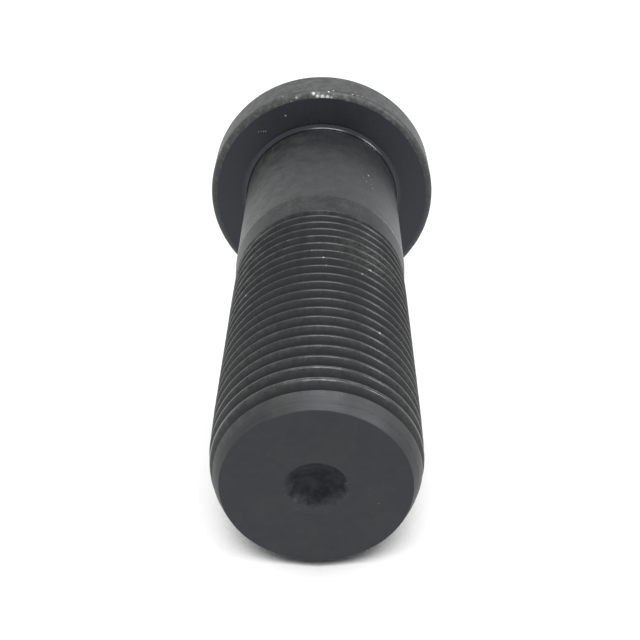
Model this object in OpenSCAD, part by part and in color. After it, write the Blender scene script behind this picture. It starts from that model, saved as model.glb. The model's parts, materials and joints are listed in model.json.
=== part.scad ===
// Wheel stud, turned and rolled from one piece of steel: a plain round head, a smooth shank, a short
// tapered neck and a long fine right-hand thread that ends in a crowned nose with a rough centre mark.
// It stands on its head: +Z runs from the head to the threaded end, and the origin is at the centre
// of the head's flat outer face. Sizes are in millimetres and angles in degrees.

/* [Overall] */
// Length from the outer face of the head to the threaded end
overall_len = 60; // [50:0.5:90]

/* [Head] */
// Diameter of the head
head_d = 27.4; // [23:0.1:34]
// Thickness of the head, from its outer face to its bearing face
head_thk = 5.6; // [3:0.1:9]
// Radius of the rounded rim at the bearing face
bearing_edge_r = 0.75; // [0.2:0.05:1.2]
// Radius of the rim at the outer face
outer_edge_r = 0.4; // [0.1:0.05:1.2]

/* [Shank] */
// Diameter of the smooth shank
shank_d = 18.3; // [17:0.1:21]
// Radius of the fillet between the shank and the bearing face
fillet_r = 0.6; // [0.2:0.05:1.2]
// Length of the taper from the shank down to the thread
neck_len = 3.2; // [1:0.1:8]

/* [Thread] */
// Diameter over the thread's crests
thread_d = 18; // [16:0.1:20]
// Distance from one crest to the next
pitch = 1.5; // [1:0.05:2.5]
// Threaded length, with the nose, measured from the end
thread_len = 32.4; // [20:0.1:40]
// How far the first crests, at the neck, stay under the full radius
start_drop = 0.05; // [0:0.01:0.3]
// Length over which the crests grow from the neck to the full radius
start_len = 3.6; // [1:0.1:8]
// Length over which the groove deepens as it leaves the neck
runout_len = 0.9; // [0.3:0.1:4]
// Distance of a crest from the end of the nose, on the +X side
crest_shift = 0.865; // [0:0.005:1.5]

/* [Nose] */
// Diameter of the flat end face
end_face_d = 15.6; // [12:0.1:15.8]
// Length of the crowned nose, which rounds the last crests off
crown_len = 4; // [2:0.1:8]
// How far the crests at the foot of the crown stay under the full radius
crown_drop = 0.08; // [0:0.01:0.4]
// Length over which the crests thin out towards the crown
lead_len = 4.5; // [1:0.1:8]
// Length of the plain band at the end, which has no groove
band_len = 1.2; // [0.6:0.1:2.5]

/* [Centre mark] */
// Diameter of the centre mark at the end face
mark_d = 4.8; // [2:0.1:8]
// Diameter of the bottom of the centre mark
mark_floor_d = 2.6; // [1:0.1:6]
// Depth of the centre mark
mark_depth = 0.8; // [0.2:0.1:2]

/* [Hidden] */

// Steps of one turn of the thread, and of the exact round surfaces
thread_steps = 40;
$fn = 96;
arc_steps = 8;

// The thread is a 60 degree form, so its flanks lean by half of that
flank_lean = 30;
depth_per_pitch = 0.6134;
crest_share = 0.125;

head_r = head_d / 2;
shank_r = shank_d / 2;
thread_r = thread_d / 2;
neck_r = thread_r - start_drop;
end_face_r = end_face_d / 2;

neck_z = overall_len - thread_len;
band_z = overall_len - band_len;

thread_depth = depth_per_pitch * pitch;
root_r = thread_r - thread_depth;
crest_w = crest_share * pitch;
flank_w = thread_depth * tan(flank_lean);
root_w = pitch - crest_w - 2 * flank_w;

// The core under the thread, how deep the thread's two ends reach into the neck and the band,
// and how far its crests stay under the skin of both there
core_r = root_r - 0.5;
seat = 0.5;
skin = 0.015;

// The crown is an arc that starts along the crests and ends at the rim of the end face
crown_foot_r = thread_r - crown_drop;
crown_fall = crown_foot_r - end_face_r;
crown_r = (pow(crown_fall, 2) + pow(crown_len, 2)) / (2 * crown_fall);

function clamp01(x) = max(0, min(1, x));
function arc(cx, cz, r, from, to, n = arc_steps) =
    [for (i = [0:n]) let (a = from + (to - from) * i / n) [cx + r * cos(a), cz + r * sin(a)]];

// Radius of the crown at a distance from the end
function crown(d) = crown_foot_r - crown_r + sqrt(pow(crown_r, 2) - pow(crown_len - d, 2));

// Radius over the crests at a height
function crest_r(z) =
    let (d = max(0, overall_len - z))
    let (near_neck = start_drop * clamp01(1 - (z - neck_z) / start_len))
    let (near_end = crown_drop * clamp01(1 - (d - crown_len) / lead_len))
    d < crown_len ? crown(d) : thread_r - max(near_neck, near_end);

// Radius of the groove's floor at a height: level with the crests at the neck, then down to the root
function groove_r(z) =
    let (top = crest_r(z))
    top - max(0, top - root_r) * clamp01((z - neck_z) / runout_len);

// Half section of everything but the thread, from the outer face of the head up to the end face.
// Above the neck it follows the core, and the band closes it with the last stretch of the crown.
function body_outline() = concat(
    [[0, 0]],
    arc(head_r - outer_edge_r, outer_edge_r, outer_edge_r, -90, 0),
    arc(head_r - bearing_edge_r, head_thk - bearing_edge_r, bearing_edge_r, 0, 90),
    arc(shank_r + fillet_r, head_thk + fillet_r, fillet_r, 270, 180),
    [[shank_r, neck_z - neck_len], [neck_r, neck_z], [core_r, neck_z], [core_r, band_z]],
    [for (i = [0:arc_steps]) let (d = band_len * (1 - i / arc_steps)) [crown(d), overall_len - d]],
    [[0, overall_len]]
);

// One pitch of the thread's section, as heights from the foot of the groove's floor
rise = [0, root_w, root_w + flank_w, root_w + flank_w + crest_w];
profile_points = len(rise);

// The thread starts far enough down that the plane in the neck cuts a full turn, and ends the same way
crest_mid = root_w + flank_w + crest_w / 2;
thread_foot = neck_z - seat - pitch;
thread_top = band_z + seat;
crest_above = overall_len - crest_shift - crest_mid;
first_z = crest_above - pitch * ceil((crest_above - thread_foot) / pitch);
turns = ceil((thread_top - first_z) / pitch);
last = turns * thread_steps;

function on_crest(k) = k >= 2;
function thread_radius(k, z) = (on_crest(k) ? crest_r(z) : groove_r(z)) - skin;
function thread_point(i, k) =
    let (a = 360 * i / thread_steps)
    let (z = first_z + pitch * i / thread_steps + rise[k])
    let (r = thread_radius(k, z))
    [r * cos(a), r * sin(a), z];

// Number of a point: the full turns hold a whole section at each step, and the turn after them
// only the foot of the groove, which closes the last full turn
function at(i, k) =
    k == profile_points ? at(i + thread_steps, 0)
    : i <= last ? i * profile_points + k
    : (last + 1) * profile_points + i - last - 1;

// A closed solid as high as the thread, with one long helical skin
module thread_skin() {
    points = concat(
        [for (i = [0:last], k = [0:profile_points - 1]) thread_point(i, k)],
        [for (i = [last + 1:last + thread_steps]) thread_point(i, 0)],
        [[0, 0, thread_point(0, 0)[2]], [0, 0, thread_point(last + thread_steps, 0)[2]]]
    );
    low_centre = len(points) - 2;
    high_centre = len(points) - 1;
    skin_faces = [
        for (i = [0:last - 1], k = [0:profile_points - 1], half = [0, 1])
            half == 0 ? [at(i, k), at(i, k + 1), at(i + 1, k + 1)] : [at(i, k), at(i + 1, k + 1), at(i + 1, k)]
    ];
    low_faces = [for (i = [0:thread_steps - 1]) [low_centre, at(i, 0), at(i + 1, 0)]];
    high_faces = [for (i = [last:last + thread_steps - 1]) [high_centre, at(i + 1, 0), at(i, 0)]];
    low_step = concat([low_centre], [for (k = [profile_points:-1:0]) at(0, k)]);
    high_step = concat([high_centre], [for (k = [0:profile_points]) at(last, k)]);
    polyhedron(points, concat(skin_faces, low_faces, high_faces, [low_step, high_step]));
}

// The thread, cut off flat inside the neck and inside the band
module thread() {
    intersection() {
        thread_skin();
        translate([-head_d, -head_d, neck_z - seat])
            cube([2 * head_d, 2 * head_d, thread_len - band_len + 2 * seat]);
    }
}

// The shallow conical centre mark in the end face
module centre_mark() {
    rotate_extrude()
        polygon([
            [0, overall_len - mark_depth],
            [mark_floor_d / 2, overall_len - mark_depth],
            [mark_d / 2, overall_len],
            [mark_d / 2, overall_len + 1],
            [0, overall_len + 1]
        ]);
}

module stud() {
    color([0.2, 0.21, 0.21])
        difference() {
            union() {
                rotate_extrude()
                    polygon(body_outline());
                thread();
            }
            centre_mark();
        }
}

stud();
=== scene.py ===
# Looks of the wheel stud: one closed mesh over the CAD solid, with its black oxide finish, and the
# white paper that it lies against. Sizes are in millimetres unless a name says otherwise, and Blender
# gets them times MM.

import json
import math

import bpy
import numpy as np
from mathutils import Matrix, Vector, noise


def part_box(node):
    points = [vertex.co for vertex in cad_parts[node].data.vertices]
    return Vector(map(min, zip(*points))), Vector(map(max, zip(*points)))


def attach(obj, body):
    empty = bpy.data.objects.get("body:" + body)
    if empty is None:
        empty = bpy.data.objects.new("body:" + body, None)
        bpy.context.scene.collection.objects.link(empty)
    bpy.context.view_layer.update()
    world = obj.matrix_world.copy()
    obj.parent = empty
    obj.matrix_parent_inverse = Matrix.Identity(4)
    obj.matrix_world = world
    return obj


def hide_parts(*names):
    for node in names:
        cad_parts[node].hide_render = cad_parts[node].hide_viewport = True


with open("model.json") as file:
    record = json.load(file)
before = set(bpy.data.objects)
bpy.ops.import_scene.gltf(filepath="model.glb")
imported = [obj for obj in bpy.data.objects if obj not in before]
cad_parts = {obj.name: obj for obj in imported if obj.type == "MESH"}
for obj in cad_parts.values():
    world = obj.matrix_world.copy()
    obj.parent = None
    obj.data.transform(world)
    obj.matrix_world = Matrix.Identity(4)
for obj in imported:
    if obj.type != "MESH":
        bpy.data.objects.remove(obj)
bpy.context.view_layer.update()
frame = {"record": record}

MM = 0.001
IMAGE_SIZE = 640
# Least radius that anything is divided by
TINY = 1e-6

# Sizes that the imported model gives
mounts = {mount["name"]: mount for mount in frame["record"]["mounts"]}
box_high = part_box("stud")[1]
LENGTH = box_high.z / MM
HEAD_R = box_high.x / MM
HEAD_THK = mounts["bearing_face"]["pos_m"][2] / MM
SHANK_R = mounts["shank"]["dims"]["r_mm"]

# Sizes as in part.scad
BEARING_EDGE_R = 0.75
OUTER_EDGE_R = 0.4
FILLET_R = 0.6
NECK_LEN = 3.2
THREAD_R = 9
PITCH = 1.5
THREAD_LEN = 32.4
START_DROP = 0.05
START_LEN = 3.6
CREST_SHIFT = 0.865
END_FACE_R = 7.8
CROWN_LEN = 4
CROWN_DROP = 0.08
LEAD_LEN = 4.5
THREAD_DEPTH = 0.92
FLANK_LEAN = math.radians(30)
CREST_SHARE = 0.125
MARK_R = 2.4
MARK_DEPTH = 0.8

NECK_Z = LENGTH - THREAD_LEN
TAPER_Z = NECK_Z - NECK_LEN
CROWN_FOOT_R = THREAD_R - CROWN_DROP
CROWN_FALL = CROWN_FOOT_R - END_FACE_R
CROWN_R = (CROWN_FALL**2 + CROWN_LEN**2) / (2 * CROWN_FALL)

# The mesh has this many steps a turn
STEPS = 288
ANGLES = np.arange(STEPS) * 2 * math.pi / STEPS
TURN_SHARES = np.arange(STEPS) / STEPS

# The last groove fades out between these distances of its middle from the end
GROOVE_FULL = 1.6
GROOVE_GONE = 1.0
# There is no groove nearer the end than this
PLAIN_LEN = 0.6
# The corners of a crest are worked out in some rounds, with at least this share of a full groove
CORNER_ROUNDS = 8
LEAST_GROOVE = 0.2

# The neck's rows, as shares of its taper. It ends at a lip, over which the first groove starts with a
# wall that leans like a flank. Round LIP_LATE_AT the lip lies higher, by up to LIP_RISE, over LIP_SPREAD
# either way.
NECK_SHARES = (0.2, 0.4, 0.6, 0.8, 0.95, 1)
WALL_LEAN = math.radians(28)
LIP_R = 0.08
LIP_RISE = 0.6
LIP_LATE_AT = math.radians(345)
LIP_SPREAD = math.radians(75)
# Heights over the lip at which the wall's foot is looked for, and how near the thread it is found
WALL_RISES = np.linspace(0, 0.7, 701)
WALL_NEAR = 0.0005

# Radius of the rim of the end face
END_EDGE_R = 0.1
# Half the width, in pitches, over which the edges of a crest and of the groove's floor are rounded
CREST_ROUND = 0.035
ROOT_ROUND = 0.03
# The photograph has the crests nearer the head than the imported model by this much
CREST_NEARER = 0.09
# Width of the narrow rings that keep the shading of a flat face level up to its edge
RING = 0.1
# Points of a row and the next one that are nearer than this are one
WELD = 0.0008
# Edges that bend by more than this are sharp
SHARP_BEND = math.radians(50)

# The centre mark's rows and those close round it, as shares of its radius. Up to MARK_EDGE they have the
# mark's finish, and the coarser rows of the end face stop at FACE_STOP.
MARK_SHARES = np.linspace(1.2, 0.03, 40)
MARK_EDGE = 1.09
FACE_STOP = 1.25
# Its rim wanders by a share of MARK_R round a mean. On the photograph's upper side it is steep and its
# edge is sharp, and less so on the lower side. Inside it has lumps.
MARK_RIM_MEAN = 0.97
MARK_RIM_WANDER = 0.04
MARK_STEEP = 3.2
MARK_LESS_STEEP = 1.8
MARK_SOFT = 0.03
MARK_SOFTER = 0.12
MARK_LUMPS = 0.12

# How deep each surface is sunk to stay inside the solid, and how deep its dents are. Those of the rim
# are deeper within RIM_EDGE of the bearing face.
RIM_SUNK = 0.012
RIM_DENTS = 0.02
RIM_EDGE_DENTS = 0.03
RIM_EDGE = 1.2
THREAD_SUNK = 0.006
THREAD_WAVES = 0.006
FACE_SUNK = 0.006
FACE_WAVES = 0.004

# How bare the rim's edge is all over, in patches on the side that shows, which begins at RIM_SHOWS of
# the head's radius, and at the barest places, with how uneven and how large those are
RIM_WEAR = 0.02
RIM_PATCHES = 0.22
RIM_PATCHES_FROM = 0.1
RIM_SHOWS = 0.3
RIM_BARE = 0.3
RIM_BARE_UNEVEN = 0.4
RIM_BARE_SIZE = 0.6
# How bare the crests of the thread are, how much less near the end, how much more on the side +X, and
# how uneven. This fades out at CREST_EDGE under the crest. Polished places have CREST_POLISH besides.
CREST_WEAR = 0.055
CREST_END_LESS = 0.6
CREST_SIDE_MORE = 1.5
CREST_UNEVEN = 0.9
CREST_EDGE = 0.14
CREST_POLISH = 0.1
CREST_POLISH_SIZE = 1.6
# The crests get a soft edge, which comes in between two heights and is this deep and this bare
SOFT_FROM = 32
SOFT_TO = 50
SOFT_DEPTH = 0.5
SOFT_WEAR = 0.062
# How bare the edge between shank and neck is, how wide, and how far sideways it comes in
EDGE_RUB = 0.4
EDGE_RUB_WIDTH = (0.05, 0.25)
EDGE_RUB_X = (5, 8.2)
# Length of the duller end of the nose, half the length over which that begins, the distances sideways
# over which painted shade darkens it, and the share that is left there
NOSE_LEN = 1.75
NOSE_BLEND = 0.05
NOSE_PAINTED_SHADE_X = (3, 7.5)
NOSE_PAINTED_SIDE_SHADE = 0.6
# Depths between which the thread turns from the nose's finish to the flanks'
GROOVED = (0.03, 0.08)
# The middle of a bare spot, as a share of its size, is evenly bare
SPOT_CORE = 0.4

# Colours: worn metal, the tints of the oxide, the tint of its gloss, and the levels of its shades
WORN = (0.75, 0.75, 0.74, 1)
BLUISH = (0.84, 0.96, 1.3)
COOL = (0.94, 1.0, 1.12)
OLIVE = (1.02, 1.04, 0.9)
FAINT_OLIVE = (1.0, 1.02, 0.95)
FAINT_BROWN = (1.06, 1.0, 1.06)
SHEEN = (0.93, 0.96, 1.0, 1)
NOSE_DARK, NOSE_LIGHT = 0.038, 0.052
FLANK_DARK, FLANK_LIGHT = 0.001, 0.004
PAINTED_SHEEN_LEVEL = 0.05
SOOT_AND_SHADE_DARK, SOOT_AND_SHADE_LIGHT = 0.007, 0.026
CLEAN_AND_LIT_LEVEL = 0.055
# Roughness of the nose and of the flanks, and how far that of the rest varies either way
NOSE_ROUGHNESS, FLANK_ROUGHNESS = 0.5, 0.3
ROUGHNESS_VARIES = 0.03
# Most of a noise lies between these values
MOST_NOISE = (0.35, 0.65)
# Noise of the mesh: how far apart two seeds are, how its octaves weaken, and how much finer each is
SEED_SHIFT = Vector((17.3, 5.7, 9.1))
OCTAVE_FALL = 0.8
OCTAVE_STEP = 2.0
# Finishes with painted light on one side, where their blotches are lighter, and more scuffs there: the
# direction to there, the distances that way between which it grows, and the shares of blotches and
# scuffs at both
RIM_LIT_AND_WORN_SIDE = ((0, -1, 0), 2, 10, 0.25, 1)
SHANK_LIT_AND_WORN_SIDE = ((1, 0, 0), 1, 7, 0.5, 1.25)
NECK_LIT_AND_WORN_SIDE = ((0, -1, 0), 4, 9, 0, 1)

# The soot and painted shade in the centre mark: the point they lie round, the distances over which
# they end, and how far those wander
SOOT_AND_SHADE_AT = (-0.1, -0.9, LENGTH - 0.4)
SOOT_AND_SHADE_ENDS = (2.1, 2.9)
SOOT_AND_SHADE_UNEVEN = 2.4
# Distances over which the painted sheen on the thread's flanks ends, and what a noise adds to them
PAINTED_SHEEN_ENDS = (3, 6.5)
PAINTED_SHEEN_UNEVEN = 3

# The camera of the photograph: the angle between its line of sight and the stud's axis, its turn,
# the pixel that the middle of the end face falls on, and how far along the line of sight that is
LENS = 58.86
SENSOR = 36
CAMERA_TILT = math.radians(31.75)
CAMERA_TURN = math.radians(0.62)
END_PIXEL = (316.2, 489.2)
END_DISTANCE = 83.55
FOCAL_PIXELS = LENS / SENSOR * IMAGE_SIZE
CLIP_NEAR = 1
CLIP_FAR = 20000
# Distances from the camera at which a line of sight is tried for the stud
SIGHT_DISTANCES = np.arange(60, 160, 0.02)

# Light from the world on the object
WORLD_LIGHT = 0.62
# Lights: name, direction to it, width and height in metres, watts, and whether it only shows in gloss
LIGHTS = (
    ("key", (-0.2, -0.85, 0.45), 0.3, 0.3, 1.1, False),
    ("front_window", (-0.12, -0.99, 0.05), 0.34, 0.16, 2.2, True),
    ("side_window", (-0.81, -0.58, 0.11), 0.16, 0.14, 1.45, True),
)
# Distance of the lights from the stud's middle, in metres
LIGHT_DISTANCE = 0.6

# The paper: its own shade, how much it is lifted to white, between which shares of free sky, and how
# far off what hides the sky counts
PAPER_SHADE = 0.3
PAPER_LIFT = 0.9
PAPER_DARK = 0.26
PAPER_OPEN = 0.53
PAPER_REACH = 40
PAPER_GAP = 0.05
PAPER_SIZE = 3000
PAPER_BEND = math.radians(6)
# Heights between which the shadow on the paper comes in
SHADOW_FROM = 36
SHADOW_TO = 54

# Marks read off the photograph, each as a pixel, the size of the bare spot and how bare it is
RIM_SCUFFS = (
    ((317, 95.5), 0.3, 0.9), ((322, 96), 0.35, 0.9), ((327, 96.5), 0.3, 0.9), ((331, 97), 0.2, 0.7),
    ((313, 93), 0.25, 0.9), ((296, 97), 0.2, 0.6), ((282, 96), 0.15, 0.5), ((328, 91), 0.12, 0.8),
    ((333, 90), 0.12, 0.8), ((352, 94), 0.12, 0.7), ((357, 95), 0.1, 0.6), ((362, 96), 0.1, 0.6),
    ((366, 97), 0.1, 0.5), ((290, 82), 0.12, 0.4), ((291, 101), 0.12, 0.5),
)
THREAD_NICKS = (
    ((245, 296), 0.14, 0.9), ((379, 329), 0.16, 0.45), ((362, 273), 0.14, 0.5), ((370, 271), 0.18, 0.45),
    ((243, 272), 0.08, 0.5), ((277, 225), 0.08, 0.4), ((288, 240), 0.08, 0.7), ((311, 251), 0.08, 0.4),
    ((323, 258), 0.09, 0.7), ((326, 265), 0.08, 0.5), ((337, 251), 0.08, 0.6), ((236, 328), 0.1, 0.5),
    ((384, 255), 0.08, 0.6), ((395, 255), 0.08, 0.5), ((407, 315), 0.08, 0.5),
)
END_SPECKS = (((378, 503), 0.06, 0.12),)
BEARING_SPECKS = (
    ((285, 115), 0.1, 0.7), ((258, 131.2), 0.07, 0.2), ((260.5, 131), 0.07, 0.25),
    ((263, 131), 0.07, 0.35), ((265, 131), 0.08, 0.5),
)
SHANK_SPECKS = (
    ((368, 175), 0.16, 0.9), ((366, 181), 0.11, 0.7), ((371, 184), 0.1, 0.6), ((363, 177), 0.09, 0.5),
    ((372, 188), 0.09, 0.5), ((370, 179), 0.08, 0.4),
)
# Places read off the photograph, as pixels: bare stretches of the rim, polished stretches of the last
# crests, and the middle of a painted sheen on the thread's flanks
BARE_RIM = ((313, 94), (318, 95), (323, 95), (328, 96), (333, 96), (298, 95), (285, 96), (345, 96))
POLISHED_CRESTS = (
    (290, 367), (305, 366), (320, 366), (335, 366), (290, 381), (305, 379), (320, 378), (335, 378),
    (350, 379), (360, 381),
)
PAINTED_SHEEN_AT = (372, 256)


def smooth(x):
    """Smooth step from 0 to 1."""
    x = np.clip(x, 0, 1)
    return x * x * (3 - 2 * x)


def camera_matrix():
    """Place and direction of the camera, in millimetres. The photograph has the end at its bottom."""
    up_axis = Vector((
        -math.sin(CAMERA_TURN) * math.cos(CAMERA_TILT),
        -math.sin(CAMERA_TILT),
        math.cos(CAMERA_TURN) * math.cos(CAMERA_TILT),
    ))
    x_axis = Vector((-math.cos(CAMERA_TURN), 0, -math.sin(CAMERA_TURN)))
    y_axis = up_axis.cross(x_axis)
    turn = Matrix((x_axis, y_axis, up_axis)).transposed()
    end = Vector((
        (END_PIXEL[0] - IMAGE_SIZE / 2) / FOCAL_PIXELS,
        (IMAGE_SIZE / 2 - END_PIXEL[1]) / FOCAL_PIXELS,
        -1,
    )) * END_DISTANCE
    stud_seen = Matrix.Translation(end - up_axis * LENGTH) @ turn.to_4x4()
    return stud_seen.inverted()


CAMERA = camera_matrix()


def make_camera():
    data = bpy.data.cameras.new("camera")
    data.lens = LENS
    data.sensor_width = SENSOR
    data.clip_start = CLIP_NEAR * MM
    data.clip_end = CLIP_FAR * MM
    camera = bpy.data.objects.new("camera", data)
    bpy.context.scene.collection.objects.link(camera)
    place = CAMERA.copy()
    place.translation = CAMERA.translation * MM
    camera.matrix_world = place
    bpy.context.scene.camera = camera


def crown(d):
    """Radius of the crown at a distance from the end."""
    return CROWN_FOOT_R - CROWN_R + np.sqrt(CROWN_R**2 - (CROWN_LEN - d) ** 2)


def crest_radius(z):
    """Radius over the crests at a height."""
    d = np.maximum(0, LENGTH - z)
    near_neck = START_DROP * np.clip(1 - (z - NECK_Z) / START_LEN, 0, 1)
    near_end = CROWN_DROP * np.clip(1 - (d - CROWN_LEN) / LEAD_LEN, 0, 1)
    straight = THREAD_R - np.maximum(near_neck, near_end)
    return np.where(d < CROWN_LEN, crown(np.minimum(d, CROWN_LEN)), straight)


def crest_height(turn_share):
    """Height of one crest, which climbs with the turn."""
    return LENGTH - CREST_SHIFT - CREST_NEARER + PITCH * turn_share


def groove_share(groove_mid):
    """Depth of a groove as a share of the full one, by the height of its middle."""
    return smooth((LENGTH - groove_mid - GROOVE_GONE) / (GROOVE_FULL - GROOVE_GONE))


def thread_radius(z, turn_share):
    """Radius of the thread at a height, on a line up the stud at a share of a turn."""
    phase = (z - crest_height(turn_share)) / PITCH
    off_crest = np.abs(phase - np.round(phase))
    side = np.sign(phase - np.round(phase))
    groove_mid = z + (np.round(phase) + 0.5 * side - phase) * PITCH
    sunk = (off_crest - CREST_SHARE / 2) * PITCH / math.tan(FLANK_LEAN)
    form = THREAD_R - np.clip(sunk, 0, THREAD_DEPTH) * groove_share(groove_mid)
    return np.minimum(form, crest_radius(z))


def crest_corner(crest_z, side):
    """Phase from a crest, towards one side of it, at which its flank meets the outline."""
    share = np.maximum(LEAST_GROOVE, groove_share(crest_z + side * PITCH / 2))
    phase = CREST_SHARE / 2 + 0 * crest_z
    for _ in range(CORNER_ROUNDS):
        cut = THREAD_R - crest_radius(crest_z + side * phase * PITCH)
        phase = CREST_SHARE / 2 + cut / share * math.tan(FLANK_LEAN) / PITCH
    return np.minimum(phase, 0.5 - CREST_ROUND)


def lip_height():
    """Height of the neck's lip at each step of a turn."""
    away = np.abs((ANGLES - LIP_LATE_AT + math.pi) % (2 * math.pi) - math.pi)
    return NECK_Z + LIP_RISE * smooth(1 - away / LIP_SPREAD)


def wall_foot(lip_z):
    """Height at each step of a turn where the wall over the lip meets the thread."""
    rises = WALL_RISES[:, None]
    wall = crest_radius(lip_z) - rises / math.tan(WALL_LEAN)
    met = wall <= thread_radius(lip_z + rises, TURN_SHARES) + WALL_NEAR
    return lip_z + rises[np.argmax(met, axis=0), 0]


def lumps(points, size, seed, octaves=3):
    """Noise of about -1 to 1 at points, with lumps of a size."""
    shift = SEED_SHIFT * seed
    places = [Vector(point) + shift for point in points.reshape(-1, 3) / size]
    values = [noise.fractal(place, OCTAVE_FALL, OCTAVE_STEP, octaves) for place in places]
    return np.array(values).reshape(points.shape[:-1])


def photo_ray(pixel):
    """The line of sight through a pixel of the photograph: the camera's place and a direction."""
    across = (pixel[0] + 0.5 - IMAGE_SIZE / 2) / FOCAL_PIXELS
    up = (IMAGE_SIZE / 2 - pixel[1] - 0.5) / FOCAL_PIXELS
    return CAMERA.translation, CAMERA.to_3x3() @ Vector((across, up, -1))


def outline_radius(z):
    """Radius of the stud's outline at a height, without the thread's grooves, and 0 off the stud."""
    above_edge = np.clip(z - HEAD_THK + BEARING_EDGE_R, 0, BEARING_EDGE_R)
    head = HEAD_R - BEARING_EDGE_R + np.sqrt(BEARING_EDGE_R**2 - above_edge**2)
    stem = np.where(z < TAPER_Z, SHANK_R, crest_radius(z))
    return np.where((z > 0) & (z < LENGTH), np.where(z < HEAD_THK, head, stem), 0)


def seen_point(pixel):
    """Where the line of sight through a pixel of the photograph meets the stud."""
    start, way = photo_ray(pixel)
    points = np.array(start) + SIGHT_DISTANCES[:, None] * np.array(way)
    inside = np.hypot(points[:, 0], points[:, 1]) < outline_radius(points[:, 2])
    return tuple(points[np.argmax(inside)].tolist())


def placed(marks):
    """Marks as points on the stud, with their sizes and how bare they are."""
    return [(seen_point(pixel), size, strength) for pixel, size, strength in marks]


def on_nearest_crest(point):
    """The point on the thread's nearest crest, straight up or down the stud."""
    turn_share = math.atan2(point[1], point[0]) / (2 * math.pi)
    turns = round((point[2] - crest_height(turn_share)) / PITCH)
    return point[0], point[1], crest_height(turn_share + turns)


def spots(points, pixels, size):
    """1 at the place of each pixel, falling to 0 at a distance of size from it."""
    strength = np.zeros(points.shape[:-1])
    for pixel in pixels:
        away = np.linalg.norm(points - np.array(seen_point(pixel)), axis=-1)
        strength = np.maximum(strength, smooth(1 - away / size))
    return strength


class Skin:
    """Rows of points round the stud, from the outer face of the head to the end, and the faces
    between them."""

    def __init__(self):
        self.radii = []
        self.heights = []
        self.zones = []
        self.bands = []

    def add_row(self, zone, radius, height):
        self.radii.append(np.broadcast_to(radius, STEPS))
        self.heights.append(np.broadcast_to(height, STEPS))
        self.zones.append(zone)
        return len(self.radii) - 1

    def add_band(self, low, high, low_wrap=None, high_wrap=None):
        """Faces between two rows. A row that climbs goes on as another one, its wrap, after a turn."""
        low_wrap = low if low_wrap is None else low_wrap
        high_wrap = high if high_wrap is None else high_wrap
        self.bands.append((low, high, low_wrap, high_wrap))

    def add_closed_row(self, zone, radius, height):
        """A row that ends where it began, with the faces that join it to the row before."""
        row = self.add_row(zone, radius, height)
        if row > 0:
            self.add_band(row - 1, row)

    def points(self):
        radii, heights = np.array(self.radii), np.array(self.heights)
        return np.stack([radii * np.cos(ANGLES), radii * np.sin(ANGLES), heights], axis=-1)

    def joined(self):
        """Number of each row's points, where one that coincides with the point before has its number."""
        numbers = np.arange(len(self.radii) * STEPS).reshape(-1, STEPS)
        for row in range(1, len(self.radii)):
            outwards = self.radii[row] - self.radii[row - 1]
            upwards = self.heights[row] - self.heights[row - 1]
            near = np.hypot(outwards, upwards) < WELD
            numbers[row] = np.where(near, numbers[row - 1], numbers[row])
        return numbers

    def faces(self):
        """Faces as lists of point numbers, with their zones. What has no area is left out."""
        numbers = self.joined()
        faces, zones = [], []
        for low, high, low_wrap, high_wrap in self.bands:
            for j in range(STEPS):
                ahead = (j + 1) % STEPS
                last = ahead == 0
                corners = (
                    numbers[low, j],
                    numbers[low_wrap if last else low, ahead],
                    numbers[high_wrap if last else high, ahead],
                    numbers[high, j],
                )
                face = [int(c) for i, c in enumerate(corners) if c != corners[i - 1]]
                if len(face) > 2:
                    faces.append(face)
                    zones.append(self.zones[high])
        return faces, zones


def arc(centre_r, centre_z, radius, start, stop, steps):
    """Points of an arc in the stud's half section, as radius and height."""
    turns = np.radians(np.linspace(start, stop, steps + 1))
    return [(centre_r + radius * math.cos(a), centre_z + radius * math.sin(a)) for a in turns]


def line(start, stop, steps):
    """Points of a straight stretch of the half section, without its ends."""
    shares = np.linspace(0, 1, steps + 1)[1:-1]
    return [(start[0] + (stop[0] - start[0]) * s, start[1] + (stop[1] - start[1]) * s) for s in shares]


def add_turned_part(skin):
    """The head and the shank."""
    outer_edge = arc(HEAD_R - OUTER_EDGE_R, OUTER_EDGE_R, OUTER_EDGE_R, -90, 0, steps=5)
    edge_r = BEARING_EDGE_R
    bearing_edge = arc(HEAD_R - edge_r, HEAD_THK - edge_r, edge_r, 0, 90, steps=8)
    fillet = arc(SHANK_R + FILLET_R, HEAD_THK + FILLET_R, FILLET_R, 270, 180, steps=12)
    outer_ring = (bearing_edge[-1][0] - RING, HEAD_THK)
    inner_ring = (fillet[0][0] + RING, HEAD_THK)
    taper_start = (SHANK_R, TAPER_Z)
    sections = [
        ("outer_face", line((0, 0), outer_edge[0], steps=6)),
        ("rim", outer_edge + line(outer_edge[-1], bearing_edge[0], steps=16) + bearing_edge),
        ("bearing_face", [outer_ring] + line(bearing_edge[-1], fillet[0], steps=8) + [inner_ring]),
        ("fillet", fillet),
        ("shank", line(fillet[-1], taper_start, steps=12) + [taper_start]),
    ]
    for zone, points in sections:
        for radius, height in points:
            skin.add_closed_row(zone, radius, height)


def add_lip(skin):
    """The tapered neck, its rounded lip, and the wall down into the first groove. Returns the height of
    the wall's foot."""
    lip_z = lip_height()
    lip_r = crest_radius(lip_z)
    foot_z = wall_foot(lip_z)
    foot_r = thread_radius(foot_z, TURN_SHARES)
    turn = math.pi / 2 - WALL_LEAN
    edge_r = np.minimum(LIP_R, 0.5 * (lip_r - foot_r))
    start_z = lip_z - edge_r * math.tan(turn / 2)
    for share in NECK_SHARES:
        radius = SHANK_R + (lip_r - SHANK_R) * share
        skin.add_closed_row("neck", radius, TAPER_Z + (start_z - TAPER_Z) * share)
    for a in turn * np.linspace(0, 1, 4)[1:]:
        radius = lip_r - edge_r * (1 - math.cos(a))
        skin.add_closed_row("thread", radius, start_z + edge_r * math.sin(a))
    skin.add_closed_row("thread", foot_r, foot_z)
    return foot_z


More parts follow.
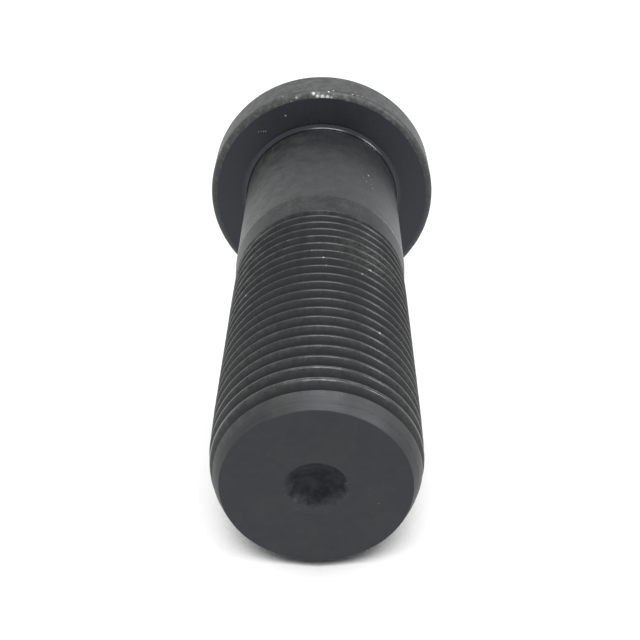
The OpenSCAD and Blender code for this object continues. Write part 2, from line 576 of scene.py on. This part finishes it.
def crest_phases(crest_z):
    """Phases of the rows round one crest: two at each corner of the crest and at each edge of the
    groove's floor, and one in the middle of the groove above."""
    root_corner = CREST_SHARE / 2 + THREAD_DEPTH * math.tan(FLANK_LEAN) / PITCH
    halves = []
    for side in (-1, 1):
        corner = crest_corner(crest_z, side)
        floor = np.maximum(root_corner, corner + ROOT_ROUND)
        floor_edge = np.maximum(floor - ROOT_ROUND, corner + CREST_ROUND)
        half = (corner - CREST_ROUND, corner + CREST_ROUND, floor_edge, floor + ROOT_ROUND)
        halves.append([side * phase for phase in half])
    return halves[0][::-1] + halves[1] + [0.5 + 0 * crest_z]


def add_thread(skin, foot_z):
    """The thread's rows climb by one pitch a turn, and stop at the neck and at the plain end of the
    nose."""
    top_z = LENGTH - PLAIN_LEN
    snap = PITCH / STEPS / 2
    first_turn = math.floor((NECK_Z - crest_height(0)) / PITCH) - 1
    last_turn = math.ceil((top_z - crest_height(0)) / PITCH) + 1
    rows = []
    for turn in range(first_turn, last_turn):
        crest_z = crest_height(TURN_SHARES + turn)
        phases = crest_phases(crest_z)
        for phase in phases:
            z = crest_z + phase * PITCH
            z = np.where(z < foot_z + snap, foot_z, np.where(z > top_z - snap, top_z, z))
            rows.append(skin.add_row("thread", thread_radius(z, TURN_SHARES), z))
    per_turn = len(phases)
    skin.add_band(rows[0] - 1, rows[0])
    for low, high in zip(rows, rows[1:]):
        skin.add_band(low, high, min(low + per_turn, rows[-1]), min(high + per_turn, rows[-1]))


def add_end(skin):
    """The plain end of the nose, the end face and the centre mark."""
    for d in np.linspace(PLAIN_LEN, END_EDGE_R, 6)[1:]:
        skin.add_closed_row("nose", crown(d), LENGTH - d)
    face_r = crown(END_EDGE_R) - END_EDGE_R
    for radius, height in arc(face_r, LENGTH - END_EDGE_R, END_EDGE_R, 0, 90, steps=3)[1:]:
        skin.add_closed_row("nose", radius, height)
    for radius in [face_r - RING] + list(np.linspace(face_r, MARK_R * FACE_STOP, 8)[1:]):
        skin.add_closed_row("end_face", radius, LENGTH)
    for share in MARK_SHARES:
        zone = "end_face" if share > MARK_EDGE else "mark"
        skin.add_closed_row(zone, MARK_R * share, LENGTH)


def mark_depth_at(points):
    """Depth of the rough centre mark: a bowl with an uneven rim, steep on one side, and lumps inside."""
    r = np.hypot(points[..., 0], points[..., 1])
    around = points / np.maximum(r, TINY)[..., None] * MARK_R
    around[..., 2] = 0
    rim = MARK_R * (MARK_RIM_MEAN + MARK_RIM_WANDER * lumps(around, size=2.2, seed=5, octaves=2))
    lower = smooth(points[..., 1] / np.maximum(r, TINY))
    inward = np.maximum(0, rim - r) / rim
    inward = inward**2 / (inward + MARK_SOFT + MARK_SOFTER * lower)
    steep = MARK_STEEP - MARK_LESS_STEEP * lower
    bowl = MARK_DEPTH * (1 - np.exp(-steep * inward)) / (1 - np.exp(-steep))
    rough = MARK_LUMPS * lumps(points, size=0.8, seed=6, octaves=2) * smooth(rim - r)
    return np.maximum(0, bowl + rough)


def rim_relief(points):
    """How far points of the rim are sunk and how worn they are, both more near the bearing face."""
    near_edge = smooth(1 - (HEAD_THK - points[..., 2]) / RIM_EDGE)
    facing = smooth(RIM_SHOWS - points[..., 1] / HEAD_R)
    dents = RIM_DENTS * np.abs(lumps(points, size=1.6, seed=1))
    edge_dents = RIM_EDGE_DENTS * near_edge * np.abs(lumps(points, size=0.9, seed=2))
    patches = np.maximum(0, lumps(points, size=0.7, seed=3) - RIM_PATCHES_FROM)
    uneven = 1 - RIM_BARE_UNEVEN + RIM_BARE_UNEVEN * lumps(points, size=0.3, seed=8)
    bare = RIM_BARE * spots(points, BARE_RIM, RIM_BARE_SIZE) * uneven
    worn = near_edge * (RIM_WEAR + RIM_PATCHES * facing * patches + bare)
    return RIM_SUNK + dents + edge_dents, worn


def thread_relief(points):
    """How far points of the thread and the nose are sunk, and how worn they are."""
    radius = np.hypot(points[..., 0], points[..., 1])
    crest = smooth(1 - (crest_radius(points[..., 2]) - radius) / CREST_EDGE)
    rubbed = np.clip(1 + CREST_UNEVEN * lumps(points, size=0.9, seed=9), 0, 2)
    rubbed = rubbed * (1 + CREST_SIDE_MORE * smooth(2 * points[..., 0] / THREAD_R - 1))
    near_end = smooth((points[..., 2] - SOFT_FROM) / (SOFT_TO - SOFT_FROM))
    worn = CREST_WEAR * rubbed * (1 - CREST_END_LESS * near_end)
    polished = CREST_POLISH * spots(points, POLISHED_CRESTS, CREST_POLISH_SIZE)
    in_groove = points[..., 2] < LENGTH - GROOVE_GONE
    sunk = THREAD_SUNK + THREAD_WAVES * lumps(points, size=1.4, seed=4)
    return sunk, crest * in_groove * (worn + polished)


def face_relief(points):
    """How far points of the end face and the centre mark lie under the end."""
    waves = FACE_WAVES * np.clip(lumps(points, size=3.5, seed=7), -1, 1)
    return FACE_SUNK + waves + mark_depth_at(points)


def roughen(skin):
    """The skin's points, moved inwards by dents and grain, with how worn each one is and how far it
    lies under the thread's outline."""
    points = skin.points()
    zones = np.array(skin.zones)
    wear = np.zeros(points.shape[:-1])
    sink = np.zeros(points.shape[:-1])
    drop = np.zeros(points.shape[:-1])
    rim = zones == "rim"
    thread = np.isin(zones, ["thread", "nose"])
    face = np.isin(zones, ["end_face", "mark"])
    sink[rim], wear[rim] = rim_relief(points[rim])
    sink[thread], wear[thread] = thread_relief(points[thread])
    drop[face] = face_relief(points[face])
    shrink = 1 - sink / np.maximum(np.hypot(points[..., 0], points[..., 1]), TINY)
    points[..., 0] *= shrink
    points[..., 1] *= shrink
    points[..., 2] -= drop
    under = crest_radius(points[..., 2]) - np.hypot(points[..., 0], points[..., 1])
    return points, wear, np.where(thread[:, None], under, 1)


def make_mesh(skin):
    """The skin's mesh, closed at both ends, and the names of its zones in the order of its materials."""
    points, wear, depth = roughen(skin)
    flat = points.reshape(-1, 3)
    low_centre, high_centre = len(flat), len(flat) + 1
    flat = np.vstack([flat, [[0, 0, 0], [0, 0, points[-1][:, 2].mean()]]])
    values = {"wear": np.append(wear.ravel(), [0, 0]), "depth": np.append(depth.ravel(), [1, 1])}
    zone_names = list(dict.fromkeys(skin.zones))
    faces, zones = skin.faces()
    last_row = (len(skin.zones) - 1) * STEPS
    for j in range(STEPS):
        ahead = (j + 1) % STEPS
        faces += [[low_centre, ahead, j], [high_centre, last_row + j, last_row + ahead]]
        zones += [zone_names[0], zone_names[-1]]
    used = np.unique(np.concatenate(faces))
    place_of = np.zeros(len(flat), int)
    place_of[used] = np.arange(len(used))
    faces = [[int(place_of[c]) for c in face] for face in faces]
    mesh = bpy.data.meshes.new("stud_skin")
    mesh.from_pydata((flat[used] * MM).tolist(), [], faces)
    mesh.polygons.foreach_set("material_index", [zone_names.index(z) for z in zones])
    for name, value in values.items():
        mesh.attributes.new(name, "FLOAT", "POINT").data.foreach_set("value", value[used])
    mesh.shade_smooth()
    mesh.set_sharp_from_angle(angle=SHARP_BEND)
    return mesh, zone_names


class Tree:
    """Builds the nodes of one material or world. An input is given as a value or as a socket to link."""

    def __init__(self, owner):
        owner.use_nodes = True
        self.tree = owner.node_tree
        self.tree.nodes.clear()

    def node(self, kind, inputs=None, **settings):
        """A new node, with inputs by their names or numbers."""
        node = self.tree.nodes.new(kind)
        for name, value in settings.items():
            setattr(node, name, value)
        for name, value in (inputs or {}).items():
            if isinstance(value, bpy.types.NodeSocket):
                self.tree.links.new(value, node.inputs[name])
            else:
                node.inputs[name].default_value = value
        return node

    def math(self, operation, a, b=0.0, clamp=False):
        return self.node("ShaderNodeMath", {0: a, 1: b}, operation=operation, use_clamp=clamp).outputs[0]

    def vector(self, operation, a, b):
        """Vector arithmetic. A distance or a dot product comes out as a plain value."""
        outputs = self.node("ShaderNodeVectorMath", {0: a, 1: b}, operation=operation).outputs
        return outputs["Value" if operation in ("DISTANCE", "DOT_PRODUCT") else "Vector"]

    def remap(self, value, low, high, to_low=0.0, to_high=1.0):
        """value, taken from between low and high to between two others, and held there."""
        inputs = {"Value": value, "From Min": low, "From Max": high, "To Min": to_low, "To Max": to_high}
        return self.node("ShaderNodeMapRange", inputs).outputs["Result"]

    def mix(self, share, a, b):
        """Mix of two colours."""
        node = self.node("ShaderNodeMix", data_type="RGBA")
        for index, value in ((0, share), (6, a), (7, b)):
            if isinstance(value, bpy.types.NodeSocket):
                self.tree.links.new(value, node.inputs[index])
            else:
                node.inputs[index].default_value = value
        return node.outputs[2]

    def grain(self, place, size, detail=3.0, roughness=0.6):
        """Noise between 0 and 1 with lumps of a size."""
        inputs = {"Vector": place, "Scale": 1 / size, "Detail": detail, "Roughness": roughness}
        return self.node("ShaderNodeTexNoise", inputs).outputs["Fac"]

    def sway(self, place, size, amount, detail=3.0, roughness=0.6):
        """Noise about 0 with lumps of a size, by up to half of amount either way."""
        grain = self.grain(place, size, detail, roughness)
        return self.math("MULTIPLY", self.math("SUBTRACT", grain, 0.5), amount)

    def place(self):
        """Place on the object."""
        metres = self.node("ShaderNodeTexCoord").outputs["Object"]
        inputs = {0: metres, "Scale": 1 / MM}
        return self.node("ShaderNodeVectorMath", inputs, operation="SCALE").outputs[0]

    def part(self, place, axis):
        """One part of a place, by the name of its axis."""
        return self.node("ShaderNodeSeparateXYZ", {0: place}).outputs[axis]

    def sideways(self, place):
        """Distance of a place from the stud's middle, along X."""
        return self.math("ABSOLUTE", self.part(place, "X"))

    def round_lines(self, place, share):
        """Place with a share of its X and Y, on which a noise runs in lines round the stud."""
        return self.vector("MULTIPLY", place, (share, share, 1))

    def attribute(self, name):
        """A value that the mesh has at its points."""
        return self.node("ShaderNodeAttribute", attribute_name=name).outputs["Fac"]

    def finish(self, colour, bare, roughness, ior, height, bump):
        """The surface: oxide of a colour, and worn metal where it is bare, with a bump of a height."""
        inputs = {"Height": height, "Distance": bump * MM, "Strength": 1.0}
        shader = self.node("ShaderNodeBsdfPrincipled", {
            "Base Color": self.mix(bare, colour, WORN),
            "Metallic": bare,
            "Roughness": roughness,
            "IOR": ior,
            "Specular Tint": SHEEN,
            "Normal": self.node("ShaderNodeBump", inputs).outputs[0],
        })
        self.node("ShaderNodeOutputMaterial", {"Surface": shader.outputs[0]})


def grey(level, tint):
    return (level * tint[0], level * tint[1], level * tint[2], 1)


def add_bare_spots(tree, place, bare, marks):
    """Adds uneven bare spots, each given as a point, its size and how bare it is."""
    uneven = tree.sway(place, size=0.12, amount=0.35, detail=2.0)
    for point, size, strength in marks:
        away = tree.math("ADD", tree.vector("DISTANCE", place, point), uneven)
        spot = tree.remap(away, SPOT_CORE * size, size, strength, 0)
        bare = tree.math("MAXIMUM", bare, spot)
    return bare


def rub(tree, place, edge_z):
    """How bare an edge at a height is: more towards the stud's two sides, and in patches."""
    above = tree.math("SUBTRACT", tree.part(place, "Z"), edge_z)
    away = tree.math("ABSOLUTE", tree.math("ADD", above, tree.sway(place, size=0.8, amount=0.5)))
    patches = tree.remap(tree.grain(place, size=0.5, detail=4.0, roughness=0.7), low=0.3, high=0.6)
    rubbed = tree.remap(away, *EDGE_RUB_WIDTH, EDGE_RUB, 0)
    rubbed = tree.math("MULTIPLY", rubbed, tree.remap(tree.sideways(place), *EDGE_RUB_X))
    return tree.math("MULTIPLY", rubbed, patches)


def oxide(name, dark, light, roughness, blotch=4.0, fine=0.35, contrast=0.2, bump=0.0006, tint=COOL,
          other=COOL, scuff=0.0, scuff_size=1.0, lit_and_worn_side=None, lines=0.0, marks=(), ior=1.5,
          rubbed_edge=None):
    """Black oxide: two close shades in soft blotches, a fine grain, fine turning lines round the axis,
    and bare metal in scuffs and where it is worn. One may have painted light on one side, where its
    blotches are lighter, and more scuffs there. One with a rubbed edge is given the height of that edge,
    which is bare on the stud's two sides."""
    material = bpy.data.materials.new(name)
    tree = Tree(material)
    place = tree.place()
    blotches = tree.remap(tree.grain(place, blotch, detail=4.0), *MOST_NOISE)
    lit_and_worn_here = 1.0
    if lit_and_worn_side:
        # Painted light: blotches grow lighter towards the lit side; the scuffs that grow there are wear.
        lit_and_worn_here = tree.remap(tree.vector("DOT_PRODUCT", place, lit_and_worn_side[0]), *lit_and_worn_side[1:])
        blotches = tree.math("MULTIPLY", blotches, lit_and_worn_here)
    turned = tree.sway(tree.round_lines(place, share=0.04), size=0.1, amount=lines, detail=2.0)
    grain = tree.math("ADD", tree.grain(place, fine), turned)
    colour = tree.mix(blotches, grey(dark, tint), grey(light, other))
    shade = tree.remap(grain, low=0.3, high=0.7, to_low=1 - contrast, to_high=1 + contrast)
    bare = tree.attribute("wear")
    if scuff > 0:
        scuffs = tree.grain(place, scuff_size, detail=5.0)
        patches = tree.remap(scuffs, low=0.4, high=0.8, to_high=scuff)
        bare = tree.math("MAXIMUM", bare, tree.math("MULTIPLY", patches, lit_and_worn_here))
    if rubbed_edge:
        bare = tree.math("MAXIMUM", bare, rub(tree, place, rubbed_edge))
    bare = add_bare_spots(tree, place, bare, marks)
    rough = tree.remap(blotches, 0, 1, roughness - ROUGHNESS_VARIES, roughness + ROUGHNESS_VARIES)
    height = tree.math("SUBTRACT", grain, bare)
    tree.finish(tree.vector("MULTIPLY", colour, shade), bare, rough, ior, height, bump)
    return material


def thread_bareness(tree, place, depth, below_nose):
    """How bare the thread is: in patches on its worn crests, and in the soft edge beside them."""
    patches = tree.grain(place, size=0.7, detail=5.0, roughness=0.75)
    patches = tree.remap(patches, *MOST_NOISE, to_low=0.3, to_high=1.7)
    worn = tree.math("MULTIPLY", tree.attribute("wear"), patches)
    comes_in = tree.remap(tree.part(place, "Z"), SOFT_FROM, SOFT_TO)
    rubbed = tree.math("MULTIPLY", tree.remap(depth, 0, SOFT_DEPTH, SOFT_WEAR, 0), comes_in)
    uneven = tree.grain(place, size=0.5, detail=4.0, roughness=0.7)
    uneven = tree.remap(uneven, *MOST_NOISE, to_low=0.5, to_high=1.5)
    rubbed = tree.math("MULTIPLY", tree.math("MULTIPLY", rubbed, uneven), below_nose)
    return tree.math("MAXIMUM", worn, rubbed)


def nose_colour(tree, place, blotches):
    """Colour of the plain end of the nose, in turning lines, with painted shade towards the stud's two
    sides.
    """
    lines = tree.grain(tree.round_lines(place, share=0.05), size=0.15, detail=2.0)
    shade = tree.remap(lines, *MOST_NOISE, to_low=0.85, to_high=1.15)
    # Painted shade: darker towards the stud's two sides.
    painted_side_shade = tree.remap(tree.sideways(place), *NOSE_PAINTED_SHADE_X, 1, NOSE_PAINTED_SIDE_SHADE)
    plain = tree.mix(blotches, grey(NOSE_DARK, COOL), grey(NOSE_LIGHT, FAINT_OLIVE))
    return tree.vector("MULTIPLY", plain, tree.math("MULTIPLY", shade, painted_side_shade))


def flank_colour(tree, place, blotches):
    """Colour of the thread's flanks, nearly black, with a painted olive sheen at one place."""
    flank = tree.mix(blotches, grey(FLANK_DARK, COOL), grey(FLANK_LIGHT, COOL))
    # Painted sheen: a lighter olive patch on the flanks round one place.
    away = tree.vector("DISTANCE", place, seen_point(PAINTED_SHEEN_AT))
    away = tree.math("ADD", away, tree.math("MULTIPLY", tree.grain(place, size=1.5), PAINTED_SHEEN_UNEVEN))
    patches = tree.remap(tree.grain(place, size=0.3), low=0.4, high=0.65)
    painted_sheen = tree.math("MULTIPLY", tree.remap(away, *PAINTED_SHEEN_ENDS, 1, 0), patches)
    return tree.mix(painted_sheen, flank, grey(PAINTED_SHEEN_LEVEL, OLIVE))


def threaded(name, marks):
    """Oxide of the thread. Its crests are rubbed, with a soft edge that is wider nearer the end, and the
    plain end of the nose is duller, lighter and turned."""
    material = bpy.data.materials.new(name)
    tree = Tree(material)
    place = tree.place()
    depth = tree.attribute("depth")
    nose_z = LENGTH - NOSE_LEN
    below_nose = tree.remap(tree.part(place, "Z"), nose_z - NOSE_BLEND, nose_z + NOSE_BLEND, 1, 0)
    grooved = tree.math("MAXIMUM", below_nose, tree.remap(depth, *GROOVED))
    bare = thread_bareness(tree, place, depth, below_nose)
    bare = add_bare_spots(tree, place, bare, marks)
    blotches = tree.remap(tree.grain(place, size=2.2, detail=4.0), *MOST_NOISE)
    nose = nose_colour(tree, place, blotches)
    colour = tree.mix(grooved, nose, flank_colour(tree, place, blotches))
    rough = tree.remap(grooved, 0, 1, NOSE_ROUGHNESS, FLANK_ROUGHNESS)
    tree.finish(colour, bare, rough, ior=1.44, height=tree.grain(place, size=0.3), bump=0.001)
    return material


def rough_mark(name):
    """The centre mark: dark with soot and painted shade in the middle and on its -Y side, and lighter
    with painted light up its +Y side."""
    material = bpy.data.materials.new(name)
    tree = Tree(material)
    place = tree.place()
    # Painted shade and soot darken the middle and the -Y side; painted light lightens the +Y wall.
    uneven = tree.sway(place, size=0.9, amount=SOOT_AND_SHADE_UNEVEN, detail=4.0, roughness=0.7)
    away = tree.math("ADD", tree.vector("DISTANCE", place, SOOT_AND_SHADE_AT), uneven)
    clean_and_lit = tree.remap(away, *SOOT_AND_SHADE_ENDS)
    patches = tree.remap(tree.grain(place, size=1.0, detail=4.0, roughness=0.7), low=0.42, high=0.62)
    soot_and_shade = tree.mix(patches, grey(SOOT_AND_SHADE_DARK, BLUISH), grey(SOOT_AND_SHADE_LIGHT, COOL))
    colour = tree.mix(clean_and_lit, soot_and_shade, grey(CLEAN_AND_LIT_LEVEL, COOL))
    flecks = tree.grain(place, size=0.7, detail=2.0, roughness=0.5)
    flecks = tree.remap(flecks, low=0.6, high=0.75, to_high=0.06)
    bare = tree.math("MULTIPLY", flecks, clean_and_lit)
    tree.finish(colour, bare, roughness=0.8, ior=1.4, height=tree.grain(place, size=0.35), bump=0.03)
    return material


def make_finishes():
    """The material of each zone."""
    nicks = [(on_nearest_crest(point), size, strength) for point, size, strength in placed(THREAD_NICKS)]
    thread_finish = threaded("thread", nicks)
    turned = {"roughness": 0.45, "blotch": 2, "fine": 0.3, "contrast": 0.35, "lines": 0.4,
              "other": FAINT_OLIVE, "scuff_size": 1.2, "rubbed_edge": TAPER_Z}
    return {
        "outer_face": oxide("outer_face", dark=0.02, light=0.03, roughness=0.4),
        "rim": oxide("rim", dark=0.018, light=0.05, roughness=0.5, blotch=1.5, fine=0.5, contrast=0.4,
                     bump=0.011, other=OLIVE, scuff=0.15, scuff_size=0.7, lit_and_worn_side=RIM_LIT_AND_WORN_SIDE,
                     marks=placed(RIM_SCUFFS)),
        "bearing_face": oxide("bearing_face", dark=0.014, light=0.02, roughness=0.42, blotch=5,
                              tint=BLUISH, other=BLUISH, marks=placed(BEARING_SPECKS)),
        "fillet": oxide("fillet", dark=0.01, light=0.014, roughness=0.22, tint=BLUISH, other=BLUISH),
        "shank": oxide("shank", dark=0.017, light=0.038, scuff=0.08, lit_and_worn_side=SHANK_LIT_AND_WORN_SIDE,
                       marks=placed(SHANK_SPECKS), **turned),
        "neck": oxide("neck", dark=0.026, light=0.052, scuff=0.04, lit_and_worn_side=NECK_LIT_AND_WORN_SIDE, ior=1.3, **turned),
        "thread": thread_finish,
        "nose": thread_finish,
        "end_face": oxide("end_face", dark=0.012, light=0.021, roughness=0.5, blotch=2.2, fine=0.8,
                          contrast=0.15, tint=BLUISH, other=FAINT_BROWN, marks=placed(END_SPECKS)),
        "mark": rough_mark("mark"),
    }


def make_stud():
    """The dressed stud, as one object."""
    skin = Skin()
    add_turned_part(skin)
    foot_z = add_lip(skin)
    add_thread(skin, foot_z)
    add_end(skin)
    mesh, zone_names = make_mesh(skin)
    finishes = make_finishes()
    for zone in zone_names:
        mesh.materials.append(finishes[zone])
    stud = bpy.data.objects.new("stud_black_oxide", mesh)
    bpy.context.scene.collection.objects.link(stud)
    even = stud.modifiers.new("even_shading", "WEIGHTED_NORMAL")
    even.keep_sharp = True
    return stud


def seen_rays(tree):
    """1 for what the camera sees itself, in a gloss or through glass, and 0 for what lights the object."""
    path = tree.node("ShaderNodeLightPath").outputs
    seen = tree.math("MAXIMUM", path["Is Camera Ray"], path["Is Glossy Ray"])
    return tree.math("MAXIMUM", seen, path["Is Transmission Ray"])


def make_world():
    world = bpy.data.worlds.new("studio")
    tree = Tree(world)
    strength = tree.remap(seen_rays(tree), 0, 1, WORLD_LIGHT, 1.0)
    shown = tree.node("ShaderNodeBackground", {"Color": (1, 1, 1, 1), "Strength": strength})
    tree.node("ShaderNodeOutputWorld", {"Surface": shown.outputs[0]})
    bpy.context.scene.world = world


def paper_white():
    """White of the paper. It shows from its front only, and is lifted to white wherever at least
    PAPER_OPEN of the sky above it is free, so that only the darkest of the shadow shows, and that only
    near the threaded end. The stud's gloss shows it too."""
    material = bpy.data.materials.new("paper_white")
    tree = Tree(material)
    white = tree.node("ShaderNodeBsdfDiffuse", {"Color": (PAPER_SHADE, PAPER_SHADE, PAPER_SHADE, 1)})
    free = tree.node("ShaderNodeAmbientOcclusion", {"Distance": PAPER_REACH * MM}, samples=8).outputs["AO"]
    geometry = tree.node("ShaderNodeNewGeometry").outputs
    height = tree.part(geometry["Position"], "Z")
    low_down = tree.remap(height, SHADOW_FROM * MM, SHADOW_TO * MM, 1, 0)
    lift = tree.math("MAXIMUM", tree.remap(free, PAPER_DARK, PAPER_OPEN, 0, PAPER_LIFT), low_down)
    glow = tree.node("ShaderNodeEmission", {"Strength": lift})
    both = tree.node("ShaderNodeAddShader", {0: white.outputs[0], 1: glow.outputs[0]})
    clear = tree.node("ShaderNodeBsdfTransparent")
    shown = tree.math("SUBTRACT", seen_rays(tree), geometry["Backfacing"], clamp=True)
    shader = tree.node("ShaderNodeMixShader", {"Fac": shown, 1: clear.outputs[0], 2: both.outputs[0]})
    tree.node("ShaderNodeOutputMaterial", {"Surface": shader.outputs[0]})
    return material


def make_paper():
    """White paper that the stud's head and thread both touch on the far side, as it lies in the
    photograph. Both its halves rise a little from where the stud lies, so that a view along the paper
    from the side sees the near one from behind and the shadow on the far one is behind the stud."""
    near = Vector((0, HEAD_R + PAPER_GAP, HEAD_THK - BEARING_EDGE_R))
    far = Vector((0, CROWN_FOOT_R + PAPER_GAP, LENGTH - CROWN_LEN))
    up = (far - near).normalized() * PAPER_SIZE
    rise = Vector((1, 0, 0)).cross(up) * math.sin(PAPER_BEND)
    across = Vector((PAPER_SIZE * math.cos(PAPER_BEND), 0, 0))
    ends = (rise - across, Vector(), rise + across)
    corners = [near + along + end for along in (-up, up) for end in ends]
    mesh = bpy.data.meshes.new("paper")
    mesh.from_pydata([corner * MM for corner in corners], [], [(0, 1, 4, 3), (1, 2, 5, 4)])
    mesh.materials.append(paper_white())
    paper = bpy.data.objects.new("paper", mesh)
    bpy.context.scene.collection.objects.link(paper)


def add_light(name, direction, width, height, watts, gloss_only):
    """A soft light that faces the middle of the stud. It either lights and shades, or only shows in
    gloss."""
    data = bpy.data.lights.new(name, "AREA")
    data.shape = "RECTANGLE"
    data.size = width
    data.size_y = height
    data.energy = watts
    light = bpy.data.objects.new(name, data)
    light.visible_glossy = gloss_only
    light.visible_diffuse = not gloss_only
    bpy.context.scene.collection.objects.link(light)
    away = Vector(direction).normalized()
    light.location = Vector((0, 0, LENGTH / 2 * MM)) + away * LIGHT_DISTANCE
    light.rotation_mode = "QUATERNION"
    light.rotation_quaternion = away.to_track_quat("Z", "Y")


make_camera()
make_world()
make_paper()
for settings in LIGHTS:
    add_light(*settings)

stud = make_stud()
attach(stud, "root")
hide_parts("stud")
bpy.context.scene.view_settings.view_transform = "Standard"
